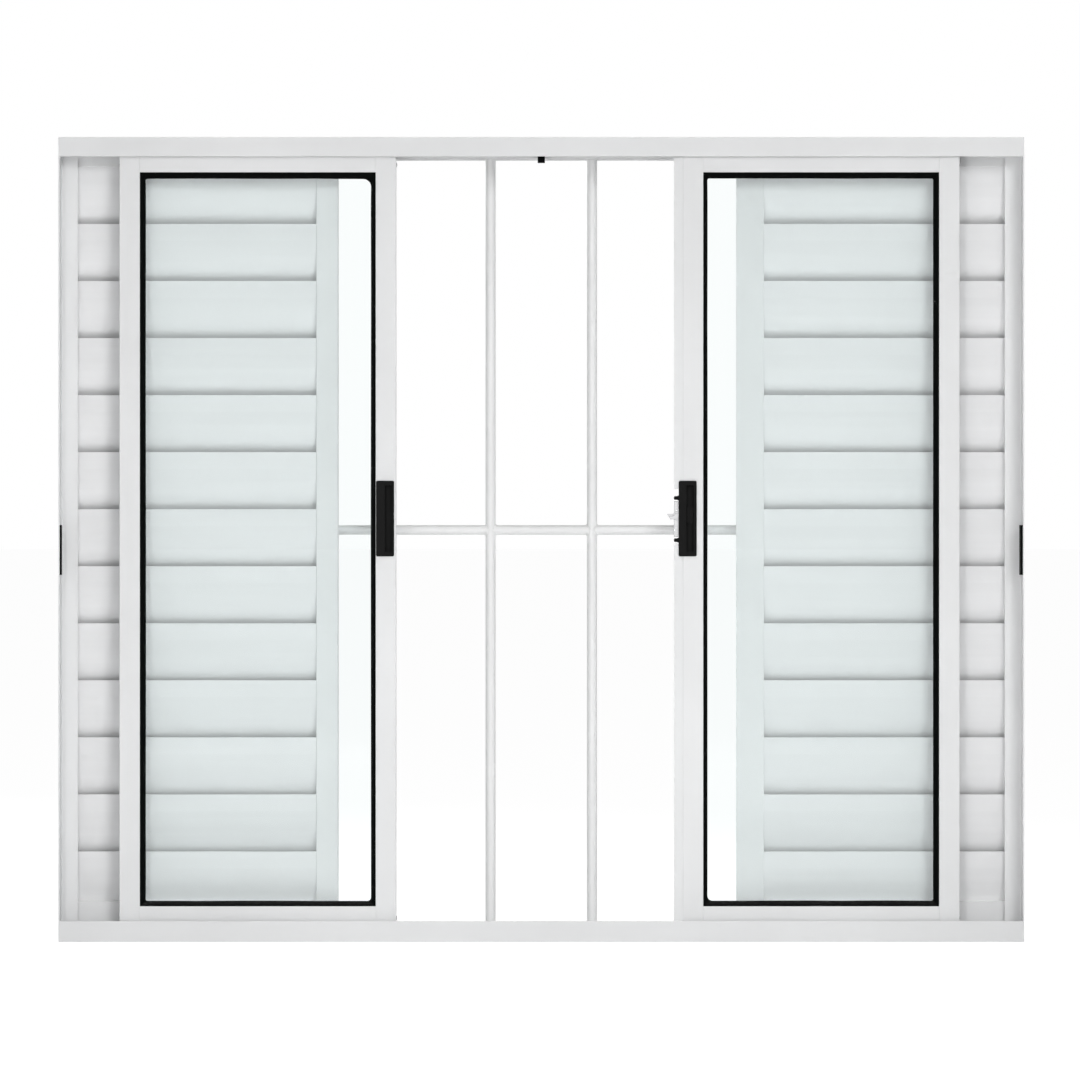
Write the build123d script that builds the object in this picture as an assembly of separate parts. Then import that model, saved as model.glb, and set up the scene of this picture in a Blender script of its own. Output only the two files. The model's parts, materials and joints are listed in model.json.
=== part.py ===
from build123d import *
import os
from math import ceil, sqrt

# Six-leaf aluminium sliding window, 1200 x 1000 mm, seen from the room side:
#   room track:   two glazed leaves, drawn apart from the middle
#   middle track: two louvred shutter leaves, pushed back to the jambs
#   outer track:  two fixed louvred leaves with a grille of round bars between them
# X runs to the right as seen from the room, Y from the room to the outside and Z up.
# The origin is the middle of the sill's underside. All sizes are in millimetres.

# Overall size
frame_width = 1200.0
frame_height = 1000.0

# Frame profiles
wall = 1.6
channel_clear = 34.4
head_lip = 24.0
sill_lip = 26.0
sill_back_lip = 16.0
sill_step = 12.0
head_box = 14.0
jamb_lip = 5.2
jamb_fin = 20.4
lip_round = 0.6
ridge_height = 13.0
ridge_web = 2.0
ridge_bead_r = 2.0
weep_length = 24.0
weep_height = 4.0
weep_foot = 3.2
weep_spread = 380.0

# What all leaves share
leaf_depth = 24.0
leaf_wall = 1.5
leaf_edge = 0.5
leaf_bottom = 7.0
leaf_head_gap = 12.0
ridge_clearance = 5.2
leaf_overlap = 89.6

# Louvred leaves: the sliding ones stand clear of the jambs and are a little narrower than the fixed ones
shutter_stile = 24.0
shutter_outer_stile = 15.0
meeting_stile_left = 27.0
meeting_flap_right = 10.7
jamb_clearance = 5.0
slide_short = 4.4
shutter_head_rail = 23.0
shutter_foot_rail = 41.5

# Slats
slat_pitch = 71.2
slat_thickness = 1.3
slat_return = 5.0
slat_flat = 20.0
slat_curve_r = 90.0
slat_drop = 54.0
slat_lip = 6.0
slat_inset = 1.5

# Glazed leaves: how far each one stands open, measured from the middle
glass_open_left = 180.5
glass_open_right = 176.0
glass_stile = 25.4
glass_head_rail = 31.4
pocket = 7.0
gasket_face = 7.0
gasket_tip = 4.5
gasket_grip = 10.0
mitre_gap = 0.15
glass_thickness = 4.0

# Meeting cover of the right glazed leaf, and how far its notch reaches below and above the pull's middle
cover_reach = 11.1
cover_leg = 24.0
cover_notch_below = 30.3
cover_notch_above = 36.8

# Pulls, with each flange's edge measured from its leaf's meeting edge
pull_rise = 26.0
pull_height = 94.0
pull_flange = 1.6
pull_wall = 1.3
pull_well_height = 86.0
pull_well_depth = 10.0
pull_side = 1.5
pull_fit = 0.2
pull_round = 2.0
well_corner = 2.0
well_round = 1.7
pull_shift_left = 2.5
pull_shift_right = -5.2

# Latch, with its heights measured from the pull's middle
lever_rise = 4.5
lever_height = 20.0
lever_side = 1.7
lever_sunk = 3.0
lever_ridge = 3.0
lever_ridge_proud = 0.5
hook_reach = 19.0
hook_foot = -1.0
hook_beak = 5.8
hook_top = 9.3
hook_ramp = (8.3, 12.3)
hook_blunt = 0.8
hook_slant = 3.6
hook_rim = 2.6
hook_rim_proud = 0.6
hook_thickness = 2.5
keeper_fit = 1.5
case_reach = 10.8
case_foot = -22.8
case_top = 21.7
case_depth = 9.0
case_wall = 1.2
case_behind_hook = 0.4
stud_r = 3.3
stud_reach = 11.1
stud_behind_face = 6.7
stud_heights = (-26.8, 25.7)

# Rollers in their carriages
roller_r = 9.0
roller_width = 7.0
roller_gap = 0.3
carriage_length = 36.0
carriage_slot_gap = 0.7
carriage_bridge = 3.5
roller_inset = 70.0

# Grille
bar_r = 6.35
crossbar_r = 6.0
bar_count = 4
bar_hole_gap = 0.3
crossbar_rise = 12.0
weld_gap = 0.05

# Stops
stop_width = 9.0
stop_depth = 20.0
stop_hang = 7.0
stop_edge = 1.0
buffer_foot = -44.0
buffer_head = 18.0
buffer_back = 24.0
buffer_left = 1.5
buffer_right = 3.0

# Fixing holes in the jambs
fixing_hole_r = 3.0
fixing_inset = 150.0

# Places in the frame, worked out from the sizes above
half_width = frame_width / 2
middle_z = frame_height / 2
track_pitch = channel_clear + wall
half_depth = (3 * track_pitch + wall) / 2
room_track, middle_track, outer_track = -track_pitch, 0.0, track_pitch
fin_y = [(n - 1.5) * track_pitch for n in range(4)]
web_inner = half_width - wall
head_under = frame_height - wall
head_lip_z = frame_height - head_lip
box_under = frame_height - head_box
bead_centre = ridge_height - ridge_bead_r
notch_half = ridge_bead_r + ridge_clearance
notch_top = ridge_height + ridge_clearance

# Places of the leaves: four leaves side by side fill the frame, and each glazed one laps a fixed one
leaf_half = leaf_depth / 2
leaf_inside = leaf_half - leaf_wall
leaf_width = (web_inner + leaf_overlap) / 2
leaf_top = frame_height - leaf_head_gap
axle_z = ridge_height + roller_gap + roller_r
carriage_slot_top = axle_z + roller_r + carriage_slot_gap
carriage_top = carriage_slot_top + carriage_bridge
fixed_inner = web_inner - leaf_width
slide_outer = web_inner - jamb_clearance
slide_inner = slide_outer - leaf_width + slide_short
shutter_top_edge = leaf_top - shutter_head_rail
shutter_bottom_edge = leaf_bottom + shutter_foot_rail
glass_top_edge = leaf_top - glass_head_rail
glass_bottom_edge = carriage_top + leaf_wall + pocket

# Slats: as many as it takes for the lowest one to reach the lower rail
slat_reach = slat_curve_r - sqrt(slat_curve_r**2 - slat_drop**2)
slat_height = slat_flat + slat_drop + slat_lip
slat_count = 1 + ceil((shutter_top_edge - shutter_bottom_edge - slat_height) / slat_pitch)

# Pulls, latch and grille
pull_centre_z = middle_z + pull_rise
pull_width = glass_stile - 2 * pull_side
pull_well_width = glass_stile - pocket - 2 * leaf_wall - 2 * pull_side
lever_width = pull_well_width - 2 * lever_side
crossbar_z = middle_z + crossbar_rise
bar_pitch = 2 * fixed_inner / bar_count
bar_x = [(n - (bar_count - 1) / 2) * bar_pitch for n in range(bar_count)]


def rect(u0, u1, v0, v1):
    """A rectangle in a section, between two corners."""
    return Pos((u0 + u1) / 2, (v0 + v1) / 2) * Rectangle(abs(u1 - u0), abs(v1 - v0))


def run_x(section, x0, x1):
    """A section drawn over (Y, Z), run along X."""
    return extrude(Plane.YZ.offset(x0) * section, amount=x1 - x0)


def run_z(section, z0, z1):
    """A section drawn over (X, Y), run along Z."""
    return extrude(Plane.XY.offset(z0) * section, amount=z1 - z0)


def run_y(section, y0, y1):
    """An outline drawn over (X, Z), run along Y."""
    return extrude(Plane(origin=(0, y0, 0), x_dir=(1, 0, 0), z_dir=(0, -1, 0)) * section, amount=y0 - y1)


def on_side(side, *shapes):
    """Leaves are drawn for the right-hand side and mirrored for the left."""
    return list(shapes) if side > 0 else [mirror(shape, about=Plane.YZ) for shape in shapes]


def save(node, *shapes):
    """Write one sub-part, with each of its solids apart."""
    solids = [solid for shape in shapes for solid in shape.solids()]
    whole = solids[0] if len(solids) == 1 else Compound(children=solids)
    export_step(whole, f"parts/{node}.step")


def corners_of(section, u0, u1, v0, v1):
    """The vertices of a section that lie on a given rectangle's corners."""
    return [p for p in section.vertices()
            if min(abs(p.X - u0), abs(p.X - u1)) < 0.01 and min(abs(p.Y - v0), abs(p.Y - v1)) < 0.01]


def profile(u0, u1, v0, v1):
    """The outline of an extruded profile, with its edges broken."""
    return chamfer(rect(u0, u1, v0, v1).vertices(), leaf_edge)


# Frame: the head is a comb of four fins, the sill a base with two ridges and a hollow step


def head_section():
    section = rect(-half_depth, half_depth, head_under, frame_height)
    for y in fin_y:
        section += rect(y - wall / 2, y + wall / 2, head_lip_z, frame_height)
    section += rect(fin_y[2], fin_y[3], box_under, box_under + wall)
    return fillet(corners_of(section, -half_depth, half_depth, head_lip_z, head_lip_z), lip_round)


def sill_section():
    section = rect(-half_depth, half_depth, 0, wall)
    section += rect(-half_depth, -half_depth + wall, 0, sill_lip)
    section += rect(half_depth - wall, half_depth, 0, sill_back_lip)
    for y in (room_track, middle_track):
        section += rect(y - ridge_web / 2, y + ridge_web / 2, 0, bead_centre)
        section += Pos(y, bead_centre) * Circle(ridge_bead_r)
    section += rect(fin_y[2] - wall / 2, fin_y[2] + wall / 2, 0, sill_step)
    section += rect(fin_y[2], fin_y[3], sill_step - wall, sill_step)
    rounded = corners_of(section, -half_depth, -half_depth, sill_lip, sill_lip)
    rounded += corners_of(section, half_depth, half_depth, sill_back_lip, sill_back_lip)
    return fillet(rounded, lip_round)


def bar_holes(z0, z1):
    """Where the grille's bars pass through the frame."""
    return [Pos(x, outer_track, (z0 + z1) / 2) * Cylinder(bar_r + bar_hole_gap, z1 - z0) for x in bar_x]


def weep_slots():
    """Drain slots through the hollow step and the outer lip."""
    slot = rect(fin_y[2] - wall, half_depth + wall, weep_foot, weep_foot + weep_height)
    return [run_x(slot, x - weep_length / 2, x + weep_length / 2) for x in (-weep_spread, 0, weep_spread)]


def jamb():
    """A thin web that is open to the room, with two fins that cover the shutters' stiles and an outer lip."""
    body = run_z(rect(web_inner, half_width, -half_depth, half_depth), 0, frame_height)
    for y, reach, foot in zip(fin_y[1:], (jamb_fin, jamb_fin, jamb_lip), (wall, sill_step, sill_back_lip)):
        body += run_z(rect(web_inner - reach, web_inner, y - wall / 2, y + wall / 2), foot, head_lip_z)
    for z in (fixing_inset, frame_height - fixing_inset):
        body -= Pos(half_width, room_track, z) * Cylinder(fixing_hole_r, 4 * wall, rotation=(0, 90, 0))
    return body


def jamb_buffer(thickness):
    """A rubber strip on the web, where the glazed leaf's edge comes to rest."""
    section = rect(web_inner - thickness, web_inner, -half_depth, -half_depth + wall + buffer_back)
    return run_z(section, middle_z + buffer_foot, middle_z + buffer_head)


def centre_stop():
    """A block under the head that keeps the two glazed leaves on their own sides."""
    half_x, half_y = stop_width / 2, stop_depth / 2
    block = rect(-half_x, half_x, room_track - half_y, room_track + half_y)
    return run_z(chamfer(block.vertices(), stop_edge), head_lip_z - stop_hang, head_under)


def build_frame():
    save("frame_head", run_x(head_section(), -web_inner, web_inner)
         - bar_holes(box_under - wall, box_under + 2 * wall))
    save("frame_sill", run_x(sill_section(), -web_inner, web_inner)
         - bar_holes(sill_step - 2 * wall, sill_step + wall) - weep_slots())
    for name, side, buffer in (("left", -1, buffer_left), ("right", 1, buffer_right)):
        save(f"frame_jamb_{name}", *on_side(side, jamb()))
        save(f"jamb_buffer_{name}", *on_side(side, jamb_buffer(buffer)))
    save("head_centre_stop", centre_stop())


# Grille: round bars through the sill's step and the head's box, with a crossbar between them


def build_grille():
    bars = [Pos(x, outer_track, (wall + head_under) / 2) * Cylinder(bar_r, head_under - wall) for x in bar_x]
    save("grille_bars", *bars)
    rod = Pos(0, outer_track, crossbar_z) * Cylinder(crossbar_r, 2 * fixed_inner, rotation=(0, 90, 0))
    copes = [Pos(x, outer_track, crossbar_z) * Cylinder(bar_r + weld_gap, 4 * crossbar_r) for x in bar_x]
    save("grille_crossbar", rod - copes)


# Rollers: a plain wheel in a block that fills the lower rail's channel


def carriage(x, track):
    """The block, with a slot from below for its wheel."""
    block = run_x(rect(track - leaf_inside, track + leaf_inside, notch_top, carriage_top),
                  x - carriage_length / 2, x + carriage_length / 2)
    slot_x = roller_r + carriage_slot_gap
    slot_y = roller_width / 2 + roller_gap
    return block - run_x(rect(track - slot_y, track + slot_y, notch_top, carriage_slot_top),
                         x - slot_x, x + slot_x)


def wheel(x, track):
    """The wheel, a running gap above the sill's ridge."""
    return Pos(x, track, axle_z) * Cylinder(roller_r, roller_width, rotation=(90, 0, 0))


def rollers(x0, x1, track):
    """Two carriages with their wheels, near the ends of a lower rail."""
    places = (x0 + roller_inset, x1 - roller_inset)
    return [piece(x, track) for x in places for piece in (carriage, wheel)]


# Louvred leaves


def slat_section():
    """A folded strip over (Y, Z): top return, flat face, curve outwards and drip lip."""
    half = slat_thickness / 2
    front_y, back_y = slat_reach - half, slat_reach + half
    front_r, back_r = slat_curve_r + half, slat_curve_r - half
    front_z = -slat_flat - sqrt(front_r**2 - (slat_curve_r - front_y)**2)
    back_z = -slat_flat - sqrt(back_r**2 - (slat_curve_r - back_y)**2)
    face = Polyline((back_y, back_z), (back_y, -slat_height), (front_y, -slat_height), (front_y, front_z))
    back = Polyline((-half, -slat_flat), (-half, half), (slat_return, half), (slat_return, -half),
                    (half, -half), (half, -slat_flat))
    front_curve = RadiusArc(face @ 1, back @ 0, front_r)
    back_curve = RadiusArc(back @ 1, face @ 0, -back_r)
    return make_face([face, front_curve, back, back_curve])


def slats(x0, x1, track):
    """Slats from the top rail down, cut off where they meet the lower rail."""
    half = slat_thickness / 2
    face_y = track - leaf_half + slat_inset + half
    slat = run_x(slat_section(), x0, x1)
    foot = run_x(rect(track - leaf_half, track + leaf_half, shutter_bottom_edge - slat_height,
                      shutter_bottom_edge), x0, x1)
    row = []
    for n in range(slat_count):
        top_z = shutter_top_edge - half - n * slat_pitch
        placed = Pos(0, face_y, top_z) * slat
        row.append(placed - foot if top_z - slat_height < shutter_bottom_edge else placed)
    return row


def shutter_rail(track, z0, z1, sliding):
    """A hollow rail; a sliding leaf's lower rail is open below, over the ridge."""
    y0, y1 = track - leaf_inside, track + leaf_inside
    section = profile(track - leaf_half, track + leaf_half, z0, z1)
    if sliding:
        section -= rect(y0, y1, z0, carriage_top)
        return section - rect(y0, y1, carriage_top + leaf_wall, z1 - leaf_wall)
    return section - rect(y0, y1, z0 + leaf_wall, z1 - leaf_wall)


def shutter_stile_solid(x0, x1, track, z0, z1, flap=0.0):
    """A hollow stile, with a cover flap on its inner edge where two leaves meet."""
    section = profile(x0, x1, track - leaf_half, track + leaf_half)
    if flap:
        section += rect(x0 - flap, x0 + leaf_wall, track - leaf_half, track - leaf_inside)
    section -= rect(x0 + leaf_wall, x1 - leaf_wall, track - leaf_inside, track + leaf_inside)
    return run_z(section, z0, z1)


def ridge_notch(x0, x1, track):
    """Room over the sill's ridge, cut through a stile's foot."""
    return run_x(rect(track - notch_half, track + notch_half, 0, notch_top), x0, x1)


def louvred_leaf(node, side, inner, outer, track, z0, z1, meeting_stile, flap=0.0):
    """One louvred leaf from its inner to its outer edge, both measured from the middle."""
    sliding = track == middle_track
    x0, x1 = inner + meeting_stile, outer - shutter_outer_stile
    meeting = shutter_stile_solid(inner, x0, track, z0, z1, flap)
    far = shutter_stile_solid(x1, outer, track, z0, z1)
    if sliding:
        meeting -= ridge_notch(inner - flap, x0, track)
        far -= ridge_notch(x1, outer, track)
    top = run_x(shutter_rail(track, shutter_top_edge, z1, False), x0, x1)
    bottom = run_x(shutter_rail(track, z0, shutter_bottom_edge, sliding), x0, x1)
    save(f"{node}_stiles", *on_side(side, meeting, far))
    save(f"{node}_rails", *on_side(side, top, bottom))
    save(f"{node}_slats", *on_side(side, *slats(x0, x1, track)))
    if sliding:
        save(f"{node}_rollers", *on_side(side, *rollers(x0, x1, track)))


def build_shutters():
    for name, side, meeting, flap in (("left", -1, meeting_stile_left, 0.0),
                                      ("right", 1, shutter_stile, meeting_flap_right)):
        louvred_leaf(f"fixed_shutter_{name}", side, fixed_inner, web_inner, outer_track,
                     sill_step, box_under, shutter_stile)
        louvred_leaf(f"sliding_shutter_{name}", side, slide_inner, slide_outer, middle_track,
                     leaf_bottom, leaf_top, meeting, flap)


# Glazed leaves


def glass_stile_solid(inner_edge, outer_edge):
    """A hollow stile whose inner edge is an open pocket for the gasket."""
    y0, y1 = room_track - leaf_inside, room_track + leaf_inside
    toward = 1 if inner_edge > outer_edge else -1
    mouth = inner_edge - toward * pocket
    left, right = sorted((outer_edge, inner_edge))
    section = profile(left, right, room_track - leaf_half, room_track + leaf_half)
    section -= rect(outer_edge + toward * leaf_wall, mouth - toward * leaf_wall, y0, y1)
    section -= rect(mouth, inner_edge, y0, y1)
    return run_z(section, leaf_bottom, leaf_top) - ridge_notch(left, right, room_track)


def glass_rail(edge, far, far_wall):
    """A hollow rail between its far side and the edge that holds the gasket; a lower rail has no far wall."""
    y0, y1 = room_track - leaf_inside, room_track + leaf_inside
    toward = 1 if far > edge else -1
    section = profile(room_track - leaf_half, room_track + leaf_half, *sorted((edge, far)))
    section -= rect(y0, y1, edge, edge + toward * pocket)
    return section - rect(y0, y1, edge + toward * (pocket + leaf_wall), far - toward * far_wall)


def gasket_strip(length):
    """A channel gasket with mitred ends, lying along X with its mouth up, centred on the origin."""
    height = pocket + gasket_face
    grip = glass_thickness / 2
    floor = height - gasket_grip
    outline = Polyline((-leaf_inside, 0), (leaf_inside, 0), (leaf_inside, pocket), (gasket_tip, height),
                       (grip, height), (grip, floor), (-grip, floor), (-grip, height),
                       (-gasket_tip, height), (-leaf_inside, pocket), close=True)
    bar = run_x(make_face(outline), -length / 2, length / 2)
    foot = length / 2 - mitre_gap
    ends = Polyline((-foot, 0), (foot, 0), (foot - height, height), (height - foot, height), close=True)
    return bar & run_y(make_face(ends), -leaf_half, leaf_half)


def gasket(x0, x1):
    """Four strips round a pane, seated in the pockets of the stiles and rails."""
    z0, z1 = glass_bottom_edge - pocket, glass_top_edge + pocket
    wide = gasket_strip(x1 - x0)
    tall = gasket_strip(z1 - z0)
    mid_x, mid_z = (x0 + x1) / 2, (z0 + z1) / 2
    return [Pos(mid_x, room_track, z0) * wide,
            Pos(mid_x, room_track, z1) * Rot(0, 180, 0) * wide,
            Pos(x0, room_track, mid_z) * Rot(0, 90, 0) * tall,
            Pos(x1, room_track, mid_z) * Rot(0, -90, 0) * tall]


def pane(x0, x1):
    """The glass, held in the gasket's groove."""
    edge = pocket + gasket_face - gasket_grip
    z0, z1 = glass_bottom_edge - pocket, glass_top_edge + pocket
    sheet = rect(x0 + edge, x1 - edge, z0 + edge, z1 - edge)
    return run_y(sheet, room_track - glass_thickness / 2, room_track + glass_thickness / 2)


def well_box(stile_edge, grow):
    """The well's outline over (X, Z), in the middle of the stile's hollow, grown on all sides."""
    middle = stile_edge + (glass_stile - pocket) / 2
    half_x, half_z = pull_well_width / 2 + grow, pull_well_height / 2 + grow
    return rect(middle - half_x, middle + half_x, pull_centre_z - half_z, pull_centre_z + half_z)


def pull(flange_edge, stile_edge):
    """A recessed shell: a flange on the stile's face and a well behind it for the fingers."""
    face_y = room_track - leaf_half
    flange = rect(flange_edge, flange_edge + pull_width,
                  pull_centre_z - pull_height / 2, pull_centre_z + pull_height / 2)
    shell = chamfer(well_box(stile_edge, 0).vertices(), well_corner)
    inside = fillet(well_box(stile_edge, -pull_wall).vertices(), well_round)
    body = run_y(fillet(flange.vertices(), pull_round), face_y - pull_flange, face_y)
    body += run_y(shell, face_y, face_y + pull_well_depth)
    return body - run_y(inside, face_y - pull_flange, face_y + pull_well_depth - pull_wall)


def pull_cutout(stile_edge):
    """The hole in the stile's face that a pull's well goes through."""
    face_y = room_track - leaf_half
    hole = chamfer(well_box(stile_edge, pull_fit).vertices(), well_corner)
    return run_y(hole, face_y, face_y + leaf_wall)


def keeper_slot(stile_edge):
    """The slot in the left leaf's meeting edge that the right leaf's hook goes into."""
    half_y = hook_thickness / 2 + keeper_fit
    slot = rect(room_track - half_y, room_track + half_y,
                pull_centre_z + hook_foot - keeper_fit, pull_centre_z + hook_top + keeper_fit)
    return run_x(slot, stile_edge, stile_edge + leaf_wall)


def latch_lever(stile_edge):
    """A thumb lever across the middle of the well, with a ridge to push on."""
    middle = stile_edge + (glass_stile - pocket) / 2
    face_y = room_track - leaf_half
    half = lever_width / 2
    lever_z = pull_centre_z + lever_rise
    block = rect(middle - half, middle + half, lever_z - lever_height / 2, lever_z + lever_height / 2)
    lever = run_y(fillet(block.vertices(), 0.4 * half), face_y + lever_sunk,
                  face_y + pull_well_depth - pull_wall)
    ridge = rect(middle - 0.8 * half, middle + 0.8 * half, lever_z - lever_ridge / 2, lever_z + lever_ridge / 2)
    return lever + run_y(chamfer(ridge.vertices(), lever_ridge / 4), face_y - lever_ridge_proud,
                         face_y + lever_sunk)


def meeting_cover(stile_edge):
    """An angle along the meeting edge that laps over the other leaf when both are closed."""
    y0 = room_track - leaf_half
    section = rect(stile_edge - cover_reach, stile_edge, y0, y0 + leaf_wall)
    section += rect(stile_edge - leaf_wall, stile_edge, y0, y0 + cover_leg)
    body = run_z(section, sill_lip, head_lip_z)
    notch = rect(stile_edge - cover_reach, stile_edge - leaf_wall, y0, y0 + leaf_wall)
    return body - run_z(notch, pull_centre_z - cover_notch_below, pull_centre_z + cover_notch_above)


def latch_hook(stile_edge):
    """A flat hook that stands out from the meeting edge: a slanted beak with a rim along its top."""
    seat, tip = stile_edge - leaf_wall, stile_edge - hook_reach
    high, low = (stile_edge - distance for distance in hook_ramp)
    z0, z1, beak = (pull_centre_z + rise for rise in (hook_foot, hook_top, hook_beak))
    front = room_track - hook_thickness / 2
    upper = [(seat, z1), (high, z1), (low, beak), (tip, beak)]
    lower = [(tip, beak - hook_blunt), (tip + hook_slant, z0), (seat, z0)]
    blade = make_face(Polyline(*upper, *lower, close=True))
    band = [(x, z - hook_rim) for x, z in reversed(upper)]
    rim = make_face(Polyline(*upper, *band, close=True)) & blade
    return run_y(blade, front, front + hook_thickness) + run_y(rim, front - hook_rim_proud, front)


def latch_case(stile_edge):
    """The latch's case in the cover's notch, behind the hook and open towards the stile."""
    seat, face = stile_edge - leaf_wall, stile_edge - case_reach
    y0 = room_track + hook_thickness / 2 + case_behind_hook
    z0, z1 = pull_centre_z + case_foot, pull_centre_z + case_top
    inside = rect(face + case_wall, seat, y0 + case_wall, y0 + case_depth - case_wall)
    return run_z(rect(face, seat, y0, y0 + case_depth), z0, z1) - run_z(inside, z0 + case_wall, z1 - case_wall)


def latch_studs(stile_edge):
    """Two pins above and below the hook."""
    seat, tip = stile_edge - leaf_wall, stile_edge - stud_reach
    y = room_track - leaf_half + stud_behind_face
    return [Pos((seat + tip) / 2, y, pull_centre_z + rise) * Cylinder(stud_r, seat - tip, rotation=(0, 90, 0))
            for rise in stud_heights]


def glazed_leaf(node, side, meeting_edge, pull_shift, holds_keeper):
    """One glazed leaf: the meeting edge is nearer the middle, the far edge nearer the jamb."""
    far_edge = meeting_edge + leaf_width
    x0, x1 = meeting_edge + glass_stile, far_edge - glass_stile
    meeting = glass_stile_solid(x0, meeting_edge) - pull_cutout(meeting_edge)
    if holds_keeper:
        meeting -= keeper_slot(meeting_edge)
    save(f"{node}_meeting_stile", *on_side(side, meeting))
    save(f"{node}_outer_stile", *on_side(side, glass_stile_solid(x1, far_edge)))
    top = run_x(glass_rail(glass_top_edge, leaf_top, leaf_wall), x0, x1)
    bottom = run_x(glass_rail(glass_bottom_edge, leaf_bottom, 0), x0, x1)
    save(f"{node}_top_rail", *on_side(side, top))
    save(f"{node}_bottom_rail", *on_side(side, bottom))
    save(f"{node}_gasket", *on_side(side, *gasket(x0 - pocket, x1 + pocket)))
    save(f"{node}_pane", *on_side(side, pane(x0 - pocket, x1 + pocket)))
    save(f"{node}_pull", *on_side(side, pull(meeting_edge + pull_shift, meeting_edge)))
    save(f"{node}_rollers", *on_side(side, *rollers(x0, x1, room_track)))


def build_glazing():
    glazed_leaf("glass_leaf_left", -1, glass_open_left, pull_shift_left, True)
    glazed_leaf("glass_leaf_right", 1, glass_open_right, pull_shift_right, False)
    save("glass_leaf_right_meeting_cover", meeting_cover(glass_open_right))
    save("latch_lever", latch_lever(glass_open_right))
    save("latch_hook", latch_hook(glass_open_right))
    save("latch_case", latch_case(glass_open_right))
    save("latch_studs", *latch_studs(glass_open_right))


os.makedirs("parts", exist_ok=True)
build_frame()
build_grille()
build_shutters()
build_glazing()
print(slat_count, "slats a leaf, leaves", round(leaf_width, 1), "mm wide")
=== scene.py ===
# %% [markdown]
# # A sliding window with louvred shutters
#
# The window was drawn as solid parts first. This notebook loads those parts as a fixed
# frame, gives each one its finish, and adds the small things that a maker fits last: the rubber
# gaskets with their soft corners, the weld beads of the grille, the screws and the latch pins.
# Nothing that was drawn as a solid is moved or resized here. All lengths are in metres, with X to
# the right as seen from the room, Y from the room to the outside and Z up.

# %% Load the imported window
import bpy
import bmesh
import json
import math
import random
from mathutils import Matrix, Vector


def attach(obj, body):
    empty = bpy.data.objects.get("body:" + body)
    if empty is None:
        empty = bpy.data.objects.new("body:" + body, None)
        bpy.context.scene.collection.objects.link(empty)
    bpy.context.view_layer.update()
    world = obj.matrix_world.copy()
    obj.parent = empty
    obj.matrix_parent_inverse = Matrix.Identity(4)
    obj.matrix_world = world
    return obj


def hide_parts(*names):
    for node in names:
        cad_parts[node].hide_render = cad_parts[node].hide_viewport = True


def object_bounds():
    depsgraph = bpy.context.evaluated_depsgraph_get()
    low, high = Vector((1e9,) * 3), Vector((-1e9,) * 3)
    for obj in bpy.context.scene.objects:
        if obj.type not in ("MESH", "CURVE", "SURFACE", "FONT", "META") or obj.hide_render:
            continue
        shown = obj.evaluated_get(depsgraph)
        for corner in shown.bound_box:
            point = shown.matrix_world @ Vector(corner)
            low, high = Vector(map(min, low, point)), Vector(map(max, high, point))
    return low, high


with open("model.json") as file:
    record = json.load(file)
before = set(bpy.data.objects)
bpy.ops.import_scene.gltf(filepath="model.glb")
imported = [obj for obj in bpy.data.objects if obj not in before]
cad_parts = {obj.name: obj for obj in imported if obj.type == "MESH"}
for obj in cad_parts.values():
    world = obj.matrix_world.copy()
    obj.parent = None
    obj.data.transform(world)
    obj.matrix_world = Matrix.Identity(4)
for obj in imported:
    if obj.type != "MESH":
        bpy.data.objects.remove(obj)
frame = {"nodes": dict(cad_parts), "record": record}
nodes = frame["nodes"]
cad_low, cad_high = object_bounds()
print("size", [round(high - low, 4) for low, high in zip(cad_low, cad_high)], "m")

# %% [markdown]
# ## The camera
#
# The picture was taken square on, from far away: the bars stay upright and very little of the
# head's underside shows. A long lens at 9.5 m gives that view. The lens follows from how much of
# the wall the picture takes in, so no number here has to be found by trial.

# %% Camera
view_width = 1.3417
view_middle = (-0.0016, 0.4994)
camera_distance = 9.5
sensor_width = 36.0
front_y = cad_low.y

lens = bpy.data.cameras.new("camera")
lens.sensor_width = sensor_width
lens.lens = sensor_width * camera_distance / view_width
camera = bpy.data.objects.new("camera", lens)
camera.location = (view_middle[0], front_y - camera_distance, view_middle[1])
camera.rotation_euler = (math.radians(90), 0, 0)
bpy.context.scene.collection.objects.link(camera)
bpy.context.scene.camera = camera
bpy.context.scene.view_settings.view_transform = "Standard"
print("lens", round(lens.lens, 1), "mm")

# %% [markdown]
# ## Light and ground
#
# A white window is judged by its soft greys. Two large lamps stand on either side of the camera,
# just outside what the panes mirror. The one on the right stands further out and higher, and draws
# the small shadows beside the stiles and under the head. A third lamp hangs over the floor in
# front of the window and shines straight down in a narrow beam: the white floor sends its light up
# under the slats and makes the sill a little brighter than the head. A fourth lamp stands behind
# the window, where the picture never looks, so that the outside can be judged as well. The rest is
# an even sky. What the camera sees behind the window is plain white, and glass and metal see the
# same white. The ground is white too and keeps a soft shadow.

# %% Telling rays apart
looking = ("Is Camera Ray", "Is Glossy Ray", "Is Transmission Ray")


def any_ray(tree, kinds):
    """1 for a ray of one of the kinds, 0 for any other."""
    path = tree.nodes.new("ShaderNodeLightPath")
    found = path.outputs[kinds[0]]
    for kind in kinds[1:]:
        either = tree.nodes.new("ShaderNodeMath")
        either.operation = "MAXIMUM"
        tree.links.new(found, either.inputs[0])
        tree.links.new(path.outputs[kind], either.inputs[1])
        found = either.outputs[0]
    return found


def choose_shader(tree, mask, first, second):
    """The material's surface: the first shader where the mask is 0, the second where it is 1."""
    choice = tree.nodes.new("ShaderNodeMixShader")
    for source, socket in zip((mask, first, second), choice.inputs):
        tree.links.new(source, socket)
    tree.links.new(choice.outputs[0], tree.nodes["Material Output"].inputs["Surface"])


print("rays that look:", looking)

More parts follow.
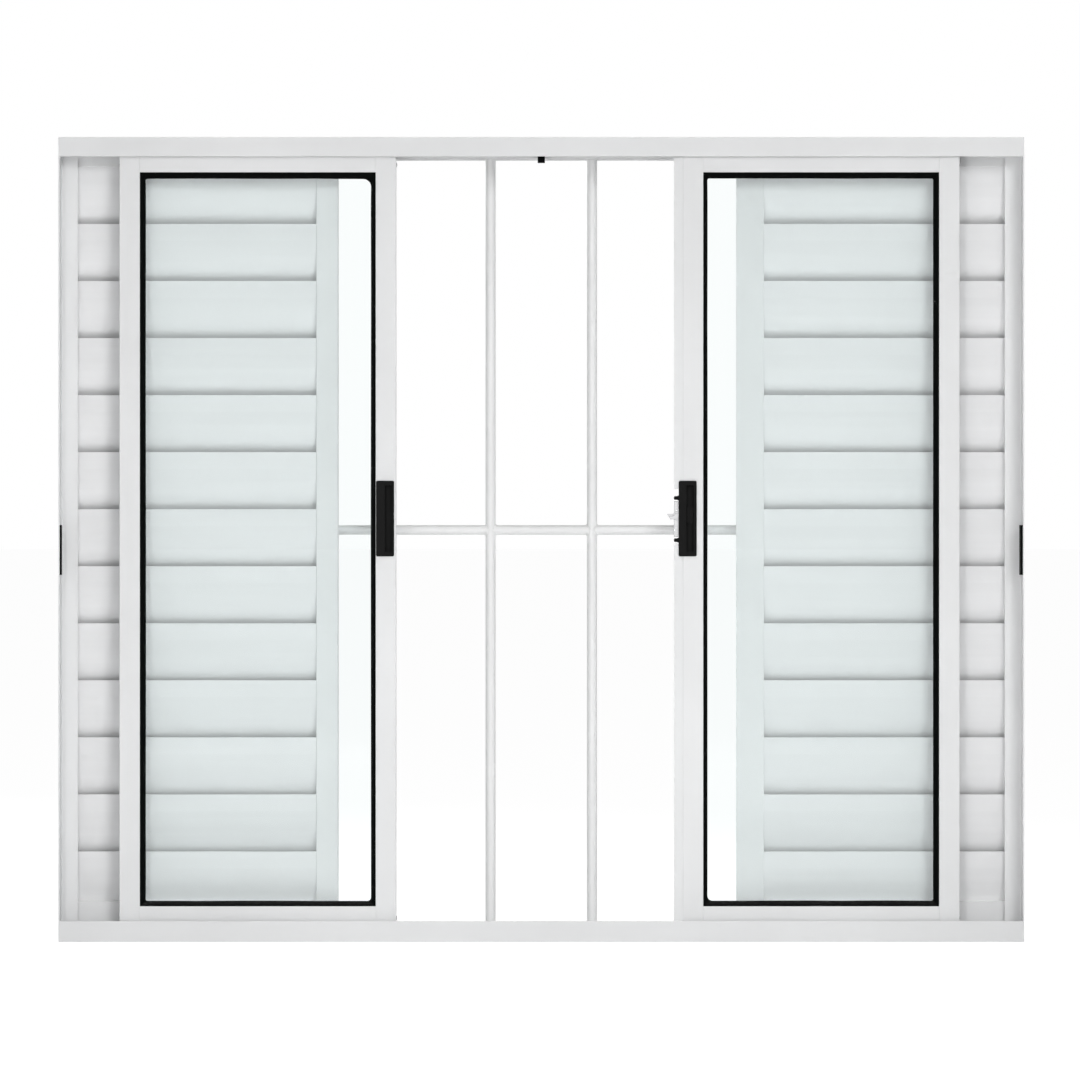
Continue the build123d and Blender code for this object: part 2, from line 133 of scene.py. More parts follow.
# %% Sky that is white to the eye and softer as a light
sky_light = 0.205

world = bpy.data.worlds.new("sky")
world.use_nodes = True
bpy.context.scene.world = world
sky = world.node_tree
level = sky.nodes.new("ShaderNodeMapRange")
level.inputs["To Min"].default_value = sky_light
level.inputs["To Max"].default_value = 1.0
background = sky.nodes["Background"]
background.inputs["Color"].default_value = (1, 1, 1, 1)
sky.links.new(any_ray(sky, looking), level.inputs["Value"])
sky.links.new(level.outputs["Result"], background.inputs["Strength"])
print("sky as a light", sky_light)

# %% Lamps


def lamp(name, place, target, size, watts, spread=180):
    """A square area lamp that faces a point, with the angle of its beam in degrees."""
    data = bpy.data.lights.new(name, "AREA")
    data.size = size
    data.energy = watts
    data.spread = math.radians(spread)
    obj = bpy.data.objects.new(name, data)
    obj.location = place
    away = [a - b for a, b in zip(place, target)]
    obj.rotation_euler = Vector(away).to_track_quat("Z", "Y").to_euler()
    bpy.context.scene.collection.objects.link(obj)
    print(name, watts, "W")


window_middle = (0, 0, 0.5)
lamp("key_lamp", (3.0, -8.4, 3.7), window_middle, size=2.6, watts=264)
lamp("fill_lamp", (-2.0, -9.0, 0.55), window_middle, size=1.0, watts=103)
lamp("floor_lamp", (0, -1.6, 3.2), (0, -1.6, 0), size=0.8, watts=26, spread=60)
lamp("back_lamp", (-3.6, 7.6, 2.4), window_middle, size=1.2, watts=32, spread=50)

# %% Ground
ground_half, ground_z = 400.0, -0.0004
corners = ((-1, -1), (1, -1), (1, 1), (-1, 1))

ground_mesh = bpy.data.meshes.new("ground")
ground_mesh.from_pydata([(x * ground_half, y * ground_half, ground_z) for x, y in corners],
                        [], [(0, 1, 2, 3)])
ground = bpy.data.objects.new("ground", ground_mesh)
bpy.context.scene.collection.objects.link(ground)
print("ground", 2 * ground_half, "m wide")

# %% Ground paint that looks white and keeps the shadow
bounce_grey, shadow_grey, glow_strength = 0.80, 0.34, 0.91

ground_paint = bpy.data.materials.new("ground_white")
ground_paint.use_nodes = True
tree = ground_paint.node_tree
tree.nodes.remove(tree.nodes["Principled BSDF"])
bounce, shaded = (tree.nodes.new("ShaderNodeBsdfDiffuse") for _ in range(2))
bounce.inputs["Color"].default_value = (bounce_grey, bounce_grey, bounce_grey, 1)
shaded.inputs["Color"].default_value = (shadow_grey, shadow_grey, shadow_grey, 1)
glow = tree.nodes.new("ShaderNodeEmission")
glow.inputs["Strength"].default_value = glow_strength
white = tree.nodes.new("ShaderNodeAddShader")
tree.links.new(shaded.outputs[0], white.inputs[0])
tree.links.new(glow.outputs[0], white.inputs[1])
choose_shader(tree, any_ray(tree, looking), bounce.outputs[0], white.outputs[0])
ground_mesh.materials.append(ground_paint)
print("ground bounces", bounce_grey, "of the light")

# %% [markdown]
# ## Effects that several finishes share
#
# Powder coat, rubber and moulded plastic are different stuffs, but they share three things: a fine
# relief, dust that settles on whatever faces up, and edges that wear first. The edge group also
# gives a plain rim, which the steel uses for painted shade along its edges. Each is a node group
# that puts out only masks and heights, so a finish can take as much or as little as it needs.

# %% Small helpers for node work


def effect(name, inputs, outputs):
    """An empty node group with named sockets."""
    tree = bpy.data.node_groups.new(name, "ShaderNodeTree")
    for label, value in inputs:
        socket = tree.interface.new_socket(label, in_out="INPUT", socket_type="NodeSocketFloat")
        socket.default_value = value
    for label in outputs:
        tree.interface.new_socket(label, in_out="OUTPUT", socket_type="NodeSocketFloat")
    return tree, tree.nodes.new("NodeGroupInput"), tree.nodes.new("NodeGroupOutput")


def scaled_noise(tree, scale, detail, stretch=(1, 1, 1)):
    """Noise in the object's own space, with its scale from a number or a socket."""
    place = tree.nodes.new("ShaderNodeTexCoord")
    mapping = tree.nodes.new("ShaderNodeMapping")
    mapping.inputs["Scale"].default_value = stretch
    noise = tree.nodes.new("ShaderNodeTexNoise")
    noise.inputs["Detail"].default_value = detail
    tree.links.new(place.outputs["Object"], mapping.inputs["Vector"])
    tree.links.new(mapping.outputs["Vector"], noise.inputs["Vector"])
    if isinstance(scale, (int, float)):
        noise.inputs["Scale"].default_value = scale
    else:
        tree.links.new(scale, noise.inputs["Scale"])
    return noise.outputs["Fac"]


def ramped(tree, value, low, high, to_low=0.0, to_high=1.0):
    """A value's stretch from low to high, spread over a new range."""
    node = tree.nodes.new("ShaderNodeMapRange")
    for label, end in (("From Min", low), ("From Max", high),
                       ("To Min", to_low), ("To Max", to_high)):
        node.inputs[label].default_value = end
    tree.links.new(value, node.inputs["Value"])
    return node.outputs["Result"]


def times(tree, a, b):
    """Two values multiplied; the second may be a plain number."""
    node = tree.nodes.new("ShaderNodeMath")
    node.operation = "MULTIPLY"
    tree.links.new(a, node.inputs[0])
    if isinstance(b, float):
        node.inputs[1].default_value = b
    else:
        tree.links.new(b, node.inputs[1])
    return node.outputs[0]


def faces_up(tree):
    """How far the surface faces up, from -1 to 1."""
    surface = tree.nodes.new("ShaderNodeNewGeometry")
    split = tree.nodes.new("ShaderNodeSeparateXYZ")
    tree.links.new(surface.outputs["Normal"], split.inputs[0])
    return split.outputs["Z"]


print("helpers ready")

# %% Fine relief
relief, relief_in, relief_out = effect(
    "fine_relief", [("Grains per metre", 900.0), ("Patches per metre", 7.0)],
    ["Height", "Patches"])
grain = scaled_noise(relief, relief_in.outputs["Grains per metre"], detail=2.0)
patches = scaled_noise(relief, relief_in.outputs["Patches per metre"], detail=3.0)
patches = ramped(relief, patches, low=0.35, high=0.65)
relief.links.new(grain, relief_out.inputs["Height"])
relief.links.new(patches, relief_out.inputs["Patches"])
print(relief.name, [s.name for s in relief.interface.items_tree])

# %% Dust on what faces up
dust, dust_in, dust_out = effect(
    "settled_dust", [("Amount", 0.5), ("Specks per metre", 60.0)], ["Mask"])
upward = ramped(dust, faces_up(dust), low=0.25, high=0.95)
specks = scaled_noise(dust, dust_in.outputs["Specks per metre"], detail=5.0)
specks = ramped(dust, specks, low=0.38, high=0.66, to_low=0.35)
settled = times(dust, upward, specks)
dust.links.new(times(dust, settled, dust_in.outputs["Amount"]), dust_out.inputs["Mask"])
print(dust.name, [s.name for s in dust.interface.items_tree])

# %% Edges that wear first, and the rim for painted edge shade
edge_wear_and_shade, edge_group_in, edge_group_out = effect(
    "edge_wear_and_painted_shade", [("Radius", 0.0006), ("Amount", 0.5)], ["Mask", "Rim"])
rounded = edge_wear_and_shade.nodes.new("ShaderNodeBevel")
rounded.samples = 4
surface = edge_wear_and_shade.nodes.new("ShaderNodeNewGeometry")
likeness = edge_wear_and_shade.nodes.new("ShaderNodeVectorMath")
likeness.operation = "DOT_PRODUCT"
edge_wear_and_shade.links.new(edge_group_in.outputs["Radius"], rounded.inputs["Radius"])
edge_wear_and_shade.links.new(rounded.outputs["Normal"], likeness.inputs[0])
edge_wear_and_shade.links.new(surface.outputs["True Normal"], likeness.inputs[1])
edge = ramped(edge_wear_and_shade, likeness.outputs["Value"], low=0.97, high=0.72)
rubbed = ramped(edge_wear_and_shade, scaled_noise(edge_wear_and_shade, scale=220.0, detail=4.0), low=0.35, high=0.6)
amount = edge_group_in.outputs["Amount"]
edge_wear_and_shade.links.new(times(edge_wear_and_shade, times(edge_wear_and_shade, edge, rubbed), amount), edge_group_out.inputs["Mask"])
# The Rim output has no rubbed noise: it is the band where the steel gets its painted edge shade.
edge_wear_and_shade.links.new(times(edge_wear_and_shade, edge, amount), edge_group_out.inputs["Rim"])
print(edge_wear_and_shade.name, [s.name for s in edge_wear_and_shade.interface.items_tree])

# %% [markdown]
# ## Finishes
#
# Each finish is one Principled shader. Its colour starts from the plain colour of the stuff, shifts
# a little from patch to patch, and takes on dust. The relief feeds a Bump node with a real height,
# a few hundredths of a millimetre, so that it reads right from any distance.

# %% Helpers that put a finish together


def finish(name):
    """A new material, its node tree and its Principled shader."""
    made = bpy.data.materials.new(name)
    made.use_nodes = True
    return made, made.node_tree, made.node_tree.nodes["Principled BSDF"]


def place_effect(tree, group, **values):
    """One of the shared effects, placed in a finish with its own values."""
    node = tree.nodes.new("ShaderNodeGroup")
    node.node_tree = group
    for label, value in values.items():
        node.inputs[label.replace("_", " ")].default_value = value
    return node


def mixed(tree, mask, first, second):
    """Two colours mixed by a mask; each is a plain colour or a socket."""
    node = tree.nodes.new("ShaderNodeMix")
    node.data_type = "RGBA"
    tree.links.new(mask, node.inputs["Factor"])
    for value, socket in ((first, node.inputs[6]), (second, node.inputs[7])):
        if isinstance(value, tuple):
            socket.default_value = (*value, 1)
        else:
            tree.links.new(value, socket)
    return node.outputs[2]


def dress(tree, shader, colour, sheen, roughness, height, depth):
    """Feed a shader its colour, its two roughnesses, mixed by the sheen, and its relief."""
    bump = tree.nodes.new("ShaderNodeBump")
    bump.inputs["Strength"].default_value = 1.0
    bump.inputs["Distance"].default_value = depth
    tree.links.new(height, bump.inputs["Height"])
    tree.links.new(colour, shader.inputs["Base Color"])
    tree.links.new(ramped(tree, sheen, 0, 1, *roughness), shader.inputs["Roughness"])
    tree.links.new(bump.outputs["Normal"], shader.inputs["Normal"])


print("finish helpers ready")

# %% [markdown]
# ### White powder coat
#
# Powder coat is paint that was melted on: satin, slightly rippled like the skin of an orange, and a
# touch bluer than paper. The ripple could come from an image, but noise in the part's own space
# needs no unwrapping and keeps its real size on every profile. Profiles, slats and bars have the
# same paint, but a slat is rolled sheet, which shows faint lines along its length. Where a slat
# turns down, its colour is painted about a fifth lighter: painted light for the light that the
# lamps don't bring under each lap. Its finish finds those places by the way they face.

# %% Powder coat
dust_colour = (0.50, 0.48, 0.45)
patch_shade = 0.965
patch_roughness = 0.06


def powder_coat(name, colour, roughness, grains, depth, dusty):
    """Satin white paint with a slight ripple, patchy sheen and a little dust on its ledges."""
    made, tree, shader = finish(name)
    skin = place_effect(tree, relief, Grains_per_metre=grains, Patches_per_metre=6.0)
    soil = place_effect(tree, dust, Amount=dusty, Specks_per_metre=70.0)
    shade = tuple(patch_shade * c for c in colour)
    paint = mixed(tree, skin.outputs["Patches"], colour, shade)
    paint = mixed(tree, soil.outputs["Mask"], paint, dust_colour)
    dress(tree, shader, paint, skin.outputs["Patches"],
          (roughness, roughness + patch_roughness), skin.outputs["Height"], depth)
    return made


white_profile = powder_coat("white_profile_paint", (0.785, 0.790, 0.795), roughness=0.50,
                            grains=650.0, depth=0.00005, dusty=0.30)
white_bar = powder_coat("white_bar_paint", (0.840, 0.845, 0.845), roughness=0.36,
                        grains=800.0, depth=0.00004, dusty=0.25)
print(white_profile.name, white_bar.name)

# %% Rolled slats
slat_white, slat_patch = (0.792, 0.795, 0.802), (0.772, 0.775, 0.782)
# The first colour on the next line is painted light: a lighter white for faces that turn down under
# the laps.
slat_painted_light, slat_streak = (0.945, 0.948, 0.955), (0.65, 0.65, 0.66)
roll_stretch, streak_share = (3.0, 140.0, 140.0), 0.10

white_slat, tree, shader = finish("white_slat_paint")
skin = place_effect(tree, relief, Grains_per_metre=700.0, Patches_per_metre=5.0)
soil = place_effect(tree, dust, Amount=0.35, Specks_per_metre=60.0)
rolled = ramped(tree, scaled_noise(tree, scale=1.0, detail=2.0, stretch=roll_stretch), 0.3, 0.7)
# Painted light: where a slat faces down, its colour is made about a fifth lighter to stand in for
# missing light.
faces_down_painted_light = ramped(tree, faces_up(tree), low=-0.05, high=-0.55)
paint = mixed(tree, skin.outputs["Patches"], slat_white, slat_patch)
paint = mixed(tree, faces_down_painted_light, paint, slat_painted_light)
paint = mixed(tree, times(tree, rolled, streak_share), paint, slat_streak)
paint = mixed(tree, soil.outputs["Mask"], paint, dust_colour)
dress(tree, shader, paint, rolled, (0.40, 0.48), skin.outputs["Height"], depth=0.00004)
print(white_slat.name)

# %% [markdown]
# ### Rubber, plastic, steel and nylon
#
# The gasket is matt black rubber that picks up dust. The pulls and the latch lever are moulded in
# black plastic with a fine satin grain, rubbed paler along their edges by fingers. The hook and the
# screws are bright steel, brushed along their length, with a dark grey rim painted along their
# edges: painted shade for the dark look of a rounded steel edge. The rollers are natural nylon.
# Wear could be painted on by hand, but the shared mask finds every edge by itself, so the same few
# numbers serve a lever and a screw.

# %% Black rubber
black_rubber, tree, shader = finish("black_rubber_matt")
skin = place_effect(tree, relief, Grains_per_metre=2600.0, Patches_per_metre=25.0)
soil = place_effect(tree, dust, Amount=0.16, Specks_per_metre=240.0)
stuff = mixed(tree, skin.outputs["Patches"], (0.0012, 0.0016, 0.0016), (0.0020, 0.0024, 0.0024))
stuff = mixed(tree, soil.outputs["Mask"], stuff, (0.10, 0.097, 0.092))
shader.inputs["Specular IOR Level"].default_value = 0.035
dress(tree, shader, stuff, skin.outputs["Patches"], (0.60, 0.74),
      skin.outputs["Height"], depth=0.00006)
print(black_rubber.name)

# %% Black moulded plastic
black_plastic, tree, shader = finish("black_plastic_satin")
skin = place_effect(tree, relief, Grains_per_metre=3600.0, Patches_per_metre=40.0)
soil = place_effect(tree, dust, Amount=0.20, Specks_per_metre=260.0)
rub = place_effect(tree, edge_wear_and_shade, Radius=0.0007, Amount=0.45)
stuff = mixed(tree, skin.outputs["Patches"], (0.0032, 0.0032, 0.0032), (0.0048, 0.0048, 0.0048))
stuff = mixed(tree, rub.outputs["Mask"], stuff, (0.040, 0.040, 0.041))
stuff = mixed(tree, soil.outputs["Mask"], stuff, (0.09, 0.088, 0.085))
shader.inputs["Specular IOR Level"].default_value = 0.07
dress(tree, shader, stuff, skin.outputs["Patches"], (0.36, 0.46),
      skin.outputs["Height"], depth=0.00005)
print(black_plastic.name)

# %% Bright steel
brush_stretch = (60.0, 2400.0, 2400.0)

bright_steel, tree, shader = finish("bright_steel_brushed")
brushed = scaled_noise(tree, scale=1.0, detail=4.0, stretch=brush_stretch)
streaks = ramped(tree, brushed, low=0.3, high=0.7)
# Painted shade: a dark grey rim along every steel edge, standing in for how a rounded steel edge
# looks.
painted_edge_shade = place_effect(tree, edge_wear_and_shade, Radius=0.0018, Amount=1.0)
plate = mixed(tree, streaks, (0.71, 0.71, 0.72), (0.63, 0.63, 0.64))
plate = mixed(tree, painted_edge_shade.outputs["Rim"], plate, (0.16, 0.16, 0.17))
shader.inputs["Metallic"].default_value = 1.0
dress(tree, shader, plate, streaks, (0.12, 0.24), brushed, depth=0.00002)
print(bright_steel.name)

# %% Nylon
nylon, tree, shader = finish("nylon_natural")
skin = place_effect(tree, relief, Grains_per_metre=1500.0, Patches_per_metre=60.0)
stuff = mixed(tree, skin.outputs["Patches"], (0.64, 0.63, 0.60), (0.58, 0.57, 0.54))
dress(tree, shader, stuff, skin.outputs["Patches"], (0.44, 0.55),
      skin.outputs["Height"], depth=0.00003)
print(nylon.name)

# %% [markdown]
# ### Clear glass
#
# Float glass is clear with a trace of green. A glass shader stops lamps, so whatever stands behind
# it would go dark. Here lamp rays and bounced light pass through as if the pane were open, and only
# the eye and reflections meet the glass, which is how a clean window behaves.

# %% Clear glass
clear_glass, tree, shader = finish("clear_glass_pane")
shader.inputs["Base Color"].default_value = (0.955, 0.985, 0.983, 1)
shader.inputs["Roughness"].default_value = 0.0
shader.inputs["IOR"].default_value = 1.48
shader.inputs["Transmission Weight"].default_value = 1.0
open_way = tree.nodes.new("ShaderNodeBsdfTransparent")
open_way.inputs["Color"].default_value = (0.965, 0.985, 0.983, 1)
choose_shader(tree, any_ray(tree, ("Is Shadow Ray", "Is Diffuse Ray")),
              shader.outputs[0], open_way.outputs[0])
print(clear_glass.name)

# %% [markdown]
# ## Finishes for the parts that came as solids
#
# Every solid names its material slot in the record, so the finishes can be handed out by slot and
# no part is forgotten.

# %% Hand out the finishes
finishes = {"white_profile": white_profile, "white_slat": white_slat, "white_bar": white_bar,
            "black_rubber": black_rubber, "black_plastic": black_plastic,
            "bright_steel": bright_steel, "nylon": nylon, "clear_glass": clear_glass}
for part in frame["record"]["subparts"]:
    mesh = nodes[part["node"]].data
    mesh.materials.clear()
    mesh.materials.append(finishes[part["material_slot"]])

# %% [markdown]
# ## Softer edges on the moulded parts
#
# A pull, a lever, a punched hook or an extruded profile has no razor edges. A Weld modifier joins
# the loaded faces again, and a small Bevel after it rounds what is sharper than 30 degrees. The
# jambs keep their drawn edges, because a bevel there would bend the long thin triangles between the
# screw holes. The solids themselves stay as they are, because a modifier only changes what is
# shown.

# %% Bevels
weld_distance = 0.000002
sharp_angle = math.radians(30)
edge_widths = {"frame_head": 0.0006, "frame_sill": 0.0006, "glass_leaf_left_pull": 0.0003,
               "glass_leaf_right_pull": 0.0003, "latch_lever": 0.0003, "latch_hook": 0.0003,
               "latch_case": 0.0005, "head_centre_stop": 0.0004, "jamb_buffer_left": 0.0003,
               "jamb_buffer_right": 0.0004}

for node, width in edge_widths.items():
    join = nodes[node].modifiers.new("join", "WELD")
    join.merge_threshold = weld_distance
    edge = nodes[node].modifiers.new("soft_edges", "BEVEL")
    edge.width = width
    edge.segments = 2
    edge.limit_method = "ANGLE"
    edge.angle_limit = sharp_angle
    edge.harden_normals = True
    print(node, width)

# %% [markdown]
# ## Building new pieces
#
# Small pieces are lofted: a closed outline is repeated along a path, and neighbouring outlines are
# joined by four-sided faces. One helper turns such rows of points into an object that rides with
# the part that carries it.

# %% Mesh helpers
join_distance = 1e-7


def make_piece(name, points, faces, slot_name, body):
    """A smooth mesh object in one of the finishes that rides on a body."""
    mesh = bpy.data.meshes.new(name)
    mesh.from_pydata(points, [], faces)
    work = bmesh.new()
    work.from_mesh(mesh)
    bmesh.ops.remove_doubles(work, verts=work.verts, dist=join_distance)
    bmesh.ops.recalc_face_normals(work, faces=work.faces)
    for face in work.faces:
        face.smooth = True
    work.to_mesh(mesh)
    work.free()
    mesh.materials.append(finishes[slot_name])
    obj = bpy.data.objects.new(name, mesh)
    bpy.context.scene.collection.objects.link(obj)
    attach(obj, body)
    return obj


def loft(rows, start=0, close_path=True):
    """Faces between rows of points, each row a closed outline."""
    faces, count, across = [], len(rows), len(rows[0])
    for i in range(count if close_path else count - 1):
        a, b = start + i * across, start + (i + 1) % count * across
        for j in range(across):
            k = (j + 1) % across
            faces.append((a + j, a + k, b + k, b + j))
    return faces


def round_turn(steps):
    """Angles once round a circle."""
    return [2 * math.pi * n / steps for n in range(steps)]


print("mesh helpers ready")

# %% [markdown]
# ## Gaskets
#
# The black rubber round each pane is one long extrusion pushed into the leaf's groove. It is square
# where it meets the metal and soft where it turns at the inner corners, and because it is pushed in
# by hand, its edge wanders a little. The solid model has four straight strips with mitred ends.
# Here the same section is carried once round the pane: at the metal the loop has square corners, at
# the glass each corner has its own radius, which one bevel for the whole strip couldn't give.

# %% Gasket section
room_track, outer_track = -0.036, 0.036
leaf_foot, leaf_head = 0.044, 0.9566
gasket_reach = 0.007
metal_corner_r = 0.0003
wave_count = 6
arc_steps, side_steps = 7, 34

# (how far in from the metal, how far from the pane's middle plane), front lip first
lip = [(-0.0030, -0.0103), (0.0002, -0.0103), (0.0008, -0.0107), (0.0018, -0.0106),
       (0.0030, -0.0099), (0.0042, -0.0088), (0.0053, -0.0074), (0.0062, -0.0058),
       (0.0068, -0.0043), (0.0070, -0.0031), (0.0069, -0.00215), (0.0030, -0.00205),
       (-0.0028, -0.00205)]
section = lip + [(inward, -depth) for inward, depth in reversed(lip)]
section += [(-0.0064, 0.0101), (-0.0068, 0.0095), (-0.0068, -0.0095), (-0.0064, -0.0101)]
print(len(section), "points in the section")

# %% A loop with its own radius at each corner


def rounded_loop(x0, x1, inward, shows, radii):
    """Points round a pane, moved inward by each side's share, with a radius for each corner."""
    reach = [inward * (share if inward > 0 else 1.0) for share in shows]
    left, right, low, high = (x0 + reach[0], x1 - reach[1],
                              leaf_foot + reach[2], leaf_head - reach[3])
    corners = ((left, low, 1, 1, 180), (right, low, -1, 1, 270),
               (right, high, -1, -1, 0), (left, high, 1, -1, 90))
    arcs = []
    for (x, z, dx, dz, turn), radius in zip(corners, radii):
        angles = [math.radians(turn + 90 * step / arc_steps) for step in range(arc_steps + 1)]
        arcs.append([(x + dx * radius + radius * math.cos(angle),
                      z + dz * radius + radius * math.sin(angle)) for angle in angles])
    points = []
    for arc, after in zip(arcs, arcs[1:] + arcs[:1]):
        points += arc
        (x_from, z_from), (x_to, z_to) = arc[-1], after[0]
        points += [(x_from + t * (x_to - x_from), z_from + t * (z_to - z_from))
                   for t in (step / side_steps for step in range(1, side_steps))]
    return points


print(4 * (arc_steps + side_steps), "points in a loop")

# %% Gaskets round the two panes


def gasket(name, node, x0, x1, shows, tip_radii, seed):
    """One gasket: what shows of its left, right, lower and upper side, and its corners' radii
    from the lower left round to the upper left."""
    chance = random.Random(seed)
    waves = [(chance.uniform(2, 9), chance.uniform(0, 6.28), chance.uniform(0.00004, 0.00012))
             for _ in range(wave_count)]
    middle_x, middle_z = (x0 + x1) / 2, (leaf_foot + leaf_head) / 2
    loops = []
    for inward, depth in section:
        share = max(0.0, min(1.0, inward / gasket_reach))
        radii = [metal_corner_r + share * r for r in tip_radii]
        loop = rounded_loop(x0, x1, inward, shows, radii)
        row = []
        for (x, z), turn in zip(loop, round_turn(len(loop))):
            drift = share * sum(size * math.sin(count * turn + phase)
                                for count, phase, size in waves)
            dx, dz = middle_x - x, middle_z - z
            along_x = abs(dx) / (x1 - x0) > abs(dz) / (leaf_head - leaf_foot)
            row.append((x + (math.copysign(drift, dx) if along_x else 0), room_track + depth,
                        z + (0 if along_x else math.copysign(drift, dz))))
        loops.append(row)
    rows = list(zip(*loops))
    made = make_piece(name, [p for row in rows for p in row], loft(rows), "black_rubber", "window")
    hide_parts(node)
    print(name, len(made.data.polygons), "faces")


gasket("gasket_left", "glass_leaf_left_gasket", -0.4991, -0.2059,
       (0.95, 0.86, 0.86, 1.05), (0.0015, 0.0045, 0.0095, 0.0020), 11)
gasket("gasket_right", "glass_leaf_right_gasket", 0.2014, 0.4946,
       (0.76, 0.98, 0.90, 1.02), (0.0060, 0.0020, 0.0015, 0.0020), 12)

# %% [markdown]
# ## Weld beads on the grille
#
# The crossbar is cut into lengths that fit round the upright bars, and each joint is welded. A bead
# follows the curve where the two round bars meet. That curve can be worked out: at an angle round
# the crossbar, the upright bar's surface is a known distance away. A small ring of points that
# swells and shrinks a little is carried along it.

# %% Weld beads
bar_x = (-0.1908, -0.0636, 0.0636, 0.1908)
crossbar_z = 0.512
bar_r, crossbar_r = 0.00635, 0.0060
bead_r, bead_out, bead_spread = 0.0011, 0.0002, 1.03
bead_steps, bead_around = 40, 8


def weld_bead(x, side, chance):
    """Rows of points along one joint's curve, side being the way the crossbar leaves the bar."""
    rows = []
    ripples = [chance.uniform(0, 6.28) for _ in range(3)]
    away = Vector((side, 0, 0))
    for a in round_turn(bead_steps):
        y, z = crossbar_r * math.cos(a), crossbar_r * math.sin(a)
        reach = math.sqrt(bar_r ** 2 - y ** 2)
        swell = bead_r * (1 + 0.10 * math.sin(13 * a + ripples[0])
                          + 0.08 * math.sin(5 * a + ripples[1]))
        centre = Vector((x + side * (reach + bead_out), outer_track + y * bead_spread,
                         crossbar_z + z * bead_spread))
        out = Vector((0, math.cos(a), math.sin(a)))
        rows.append([tuple(centre + swell * (math.cos(b) * out + math.sin(b) * away))
                     for b in round_turn(bead_around)])
    return rows


chance = random.Random(21)
points, faces = [], []
for x in bar_x:
    for side in (-1, 1):
        rows = weld_bead(x, side, chance)
        faces += loft(rows, len(points))
        points += [p for row in rows for p in row]
make_piece("weld_beads", points, faces, "white_bar", "window")
print(len(faces), "faces in the beads")

# %% [markdown]
# ## Screws
#
# A screw head this small needs three things to read as a screw: a domed face, a cross-shaped
# recess and a seat. The head is a disc of rings. Each point's height comes from the dome, less the
# depth of the cross where the point lies inside one of its arms, so no cutting is needed.

# %% Screw heads, with all shares taken from the head's radius
rings = [0.0, 0.07, 0.14, 0.2, 0.28, 0.38, 0.48, 0.56, 0.64, 0.74, 0.84, 0.92, 0.97, 1.0, 1.0]
head_around = 48
dome, rim, seat = 0.30, 0.10, -0.05
arm_half, arm_slope = 0.13, 0.05
arm_end, end_slope = 0.60, 0.16
cross_depth = 0.42


def screw_head(centre, outward, radius, turn):
    """Points and faces of a domed head with a cross recess, facing outward along X or Y."""
    along = Vector(outward)
    side = Vector((0, 0, 1))
    across = along.cross(side)
    points = []
    for n, ring in enumerate(rings):
        for m in range(head_around):
            a = 2 * math.pi * m / head_around + turn
            u, v = abs(ring * math.cos(a - turn)), abs(ring * math.sin(a - turn))
            depth = (max(0.0, min(1.0, (arm_half - min(u, v)) / arm_slope))
                     * max(0.0, min(1.0, (arm_end - max(u, v)) / end_slope)))
            height = dome * (1 - ring ** 2) + rim - cross_depth * depth
            if n == len(rings) - 1:
                height = seat
            points.append(tuple(Vector(centre) + radius * (
                ring * math.cos(a) * across + ring * math.sin(a) * side + height * along)))
    rows = [points[i:i + head_around] for i in range(0, len(points), head_around)]
    faces = loft(rows, close_path=False)
    last = len(points) - head_around
    faces.append(tuple(last + m for m in reversed(range(head_around))))
    return points, faces


print(len(rings) * head_around, "points in a screw head")

# %% Sets of screws
quarter_turn = 1.57


def screws(name, body, radius, seed, edges, y, heights):
    """Screw heads in one piece on upright edges, each edge being its X and the way it faces."""
    chance = random.Random(seed)
    points, faces = [], []
    for x, way in edges:
        for z in heights:
            turn = chance.uniform(0, quarter_turn)
            more, plates = screw_head((x, y, z), (way, 0, 0), radius, turn)
            faces += [tuple(len(points) + i for i in face) for face in plates]
            points += more
    make_piece(name, points, faces, "bright_steel", body)
    print(name, len(edges) * len(heights))


cover_edge, cover_y = 0.1745, -0.0395
cover_screw_r, leaf_screw_r = 0.0026, 0.0032
leaf_heights, shutter_heights, fixed_heights = (0.029, 0.966), (0.029, 0.972), (0.030, 0.968)

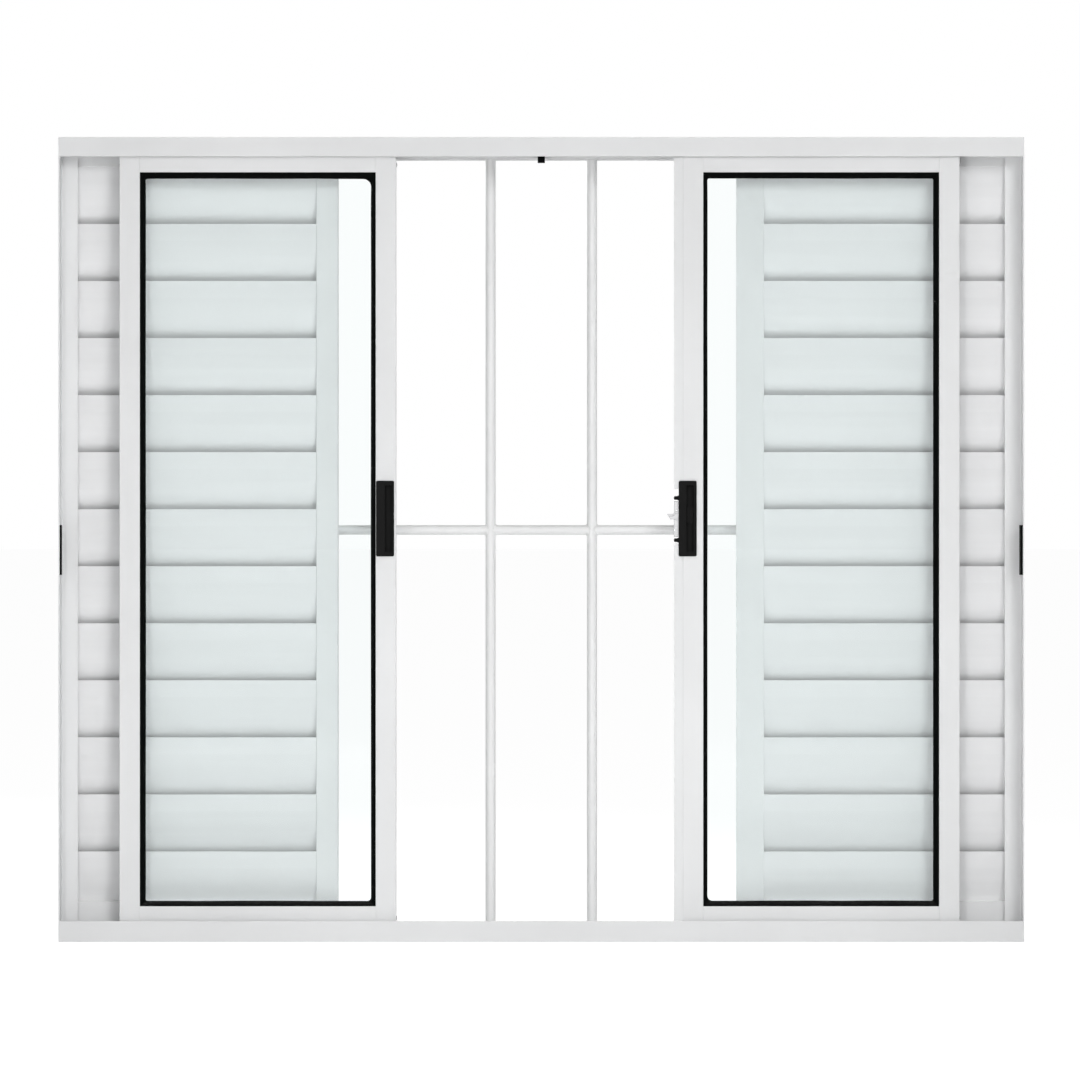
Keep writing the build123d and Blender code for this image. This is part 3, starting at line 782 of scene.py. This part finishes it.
screws("cover_screws", "window", cover_screw_r, 31,
       ((cover_edge, -1),), cover_y, (0.070, 0.330, 0.700, 0.930))
screws("left_leaf_screws", "window", leaf_screw_r, 32,
       ((-0.1805, 1), (-0.5245, -1)), room_track, leaf_heights)
screws("right_leaf_screws", "window", leaf_screw_r, 33,
       ((0.520, 1),), room_track, leaf_heights)
screws("left_shutter_screws", "shutter_left", leaf_screw_r, 34,
       ((-0.2538, 1), (-0.5934, -1)), 0, shutter_heights)
screws("right_shutter_screws", "shutter_right", leaf_screw_r, 35,
       ((0.2538, -1), (0.5934, 1)), 0, shutter_heights)
screws("fixed_leaf_screws", "window", leaf_screw_r, 36,
       ((-0.2544, 1), (0.2544, -1)), outer_track, fixed_heights)

# %% [markdown]
# ## Latch pins
#
# The two pins above and below the hook are moulded, so each grows out of a wider foot and ends in a
# rounded nose. A profile turned round the pin's axis gives both in one go.

# %% Turned pins
pin_heights = (0.4992, 0.5517)
pin_y, pin_around = -0.0413, 28

# (how far out from the cover's edge, radius)
profile = [(0.0, 0.0033), (0.0036, 0.0033), (0.0042, 0.0032), (0.0048, 0.0028), (0.0054, 0.0025),
           (0.0062, 0.0023), (0.0072, 0.0023), (0.0080, 0.0024), (0.0086, 0.0023), (0.0092, 0.0019),
           (0.0095, 0.0012), (0.0096, 0.0004)]
points, faces = [], []
for z in pin_heights:
    rows = [[(cover_edge - out, pin_y + r * math.cos(a), z + r * math.sin(a))
             for a in round_turn(pin_around)] for out, r in profile]
    foot, nose = len(points), len(points) + pin_around * (len(rows) - 1)
    faces += loft(rows, foot, close_path=False)
    faces += [tuple(end + m for m in range(pin_around)) for end in (foot, nose)]
    points += [p for row in rows for p in row]
pins = make_piece("latch_pins", points, faces, "black_plastic", "window")
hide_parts("latch_studs")
print(len(pin_heights), "pins, reach", profile[-1][0])

# %% [markdown]
# ## The box of the solid parts
#
# The finished window must still fill the box of the solid parts. That box is printed here.

# %% Sizes and the end
print("CAD box", [round(c, 4) for c in (*cad_low, *cad_high)])
